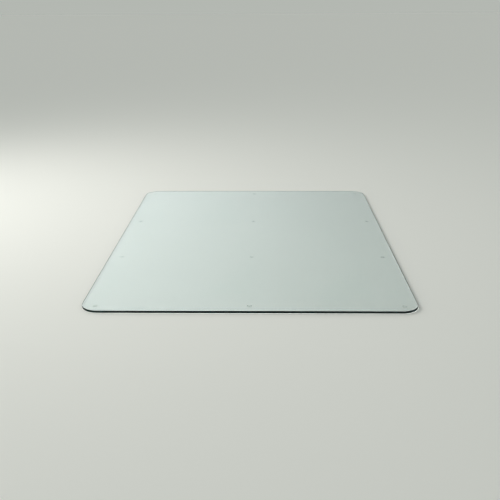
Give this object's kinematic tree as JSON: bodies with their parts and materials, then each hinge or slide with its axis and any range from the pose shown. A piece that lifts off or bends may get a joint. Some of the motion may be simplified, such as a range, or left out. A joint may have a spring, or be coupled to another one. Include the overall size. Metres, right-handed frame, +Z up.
{
  "type": "chair mat",
  "caption": "Flat rectangular tempered-glass chair mat with rounded corners and ground edges, standing on a grid of low clear stick-on bumpers; casters roll on its top.",
  "frame": {"origin": "on the floor, under the middle of the glass sheet", "axes": "+X across the mat to its right, +Y along its length away from its front edge, +Z up"},
  "size_m": [0.9144, 1.2192, 0.0082],
  "materials": {
    "tempered_glass": "clear, polished, green at the edge",
    "bumper_silicone": "clear, satin",
    "adhesive_film": "clear, tacky"
  },
  "bodies": {
    "root": {"glass_pane": "tempered_glass", "bumper_row1_left": "bumper_silicone", "bumper_row1_middle": "bumper_silicone", "bumper_row1_right": "bumper_silicone", "bumper_row2_left": "bumper_silicone", "bumper_row2_middle": "bumper_silicone", "bumper_row2_right": "bumper_silicone", "bumper_row3_left": "bumper_silicone", "bumper_row3_middle": "bumper_silicone", "bumper_row3_right": "bumper_silicone", "bumper_row4_left": "bumper_silicone", "bumper_row4_middle": "bumper_silicone", "bumper_row4_right": "bumper_silicone", "adhesive_row1_left": "adhesive_film", "adhesive_row1_middle": "adhesive_film", "adhesive_row1_right": "adhesive_film", "adhesive_row2_left": "adhesive_film", "adhesive_row2_middle": "adhesive_film", "adhesive_row2_right": "adhesive_film", "adhesive_row3_left": "adhesive_film", "adhesive_row3_middle": "adhesive_film", "adhesive_row3_right": "adhesive_film", "adhesive_row4_left": "adhesive_film", "adhesive_row4_middle": "adhesive_film", "adhesive_row4_right": "adhesive_film"}
  },
  "joints": []
}
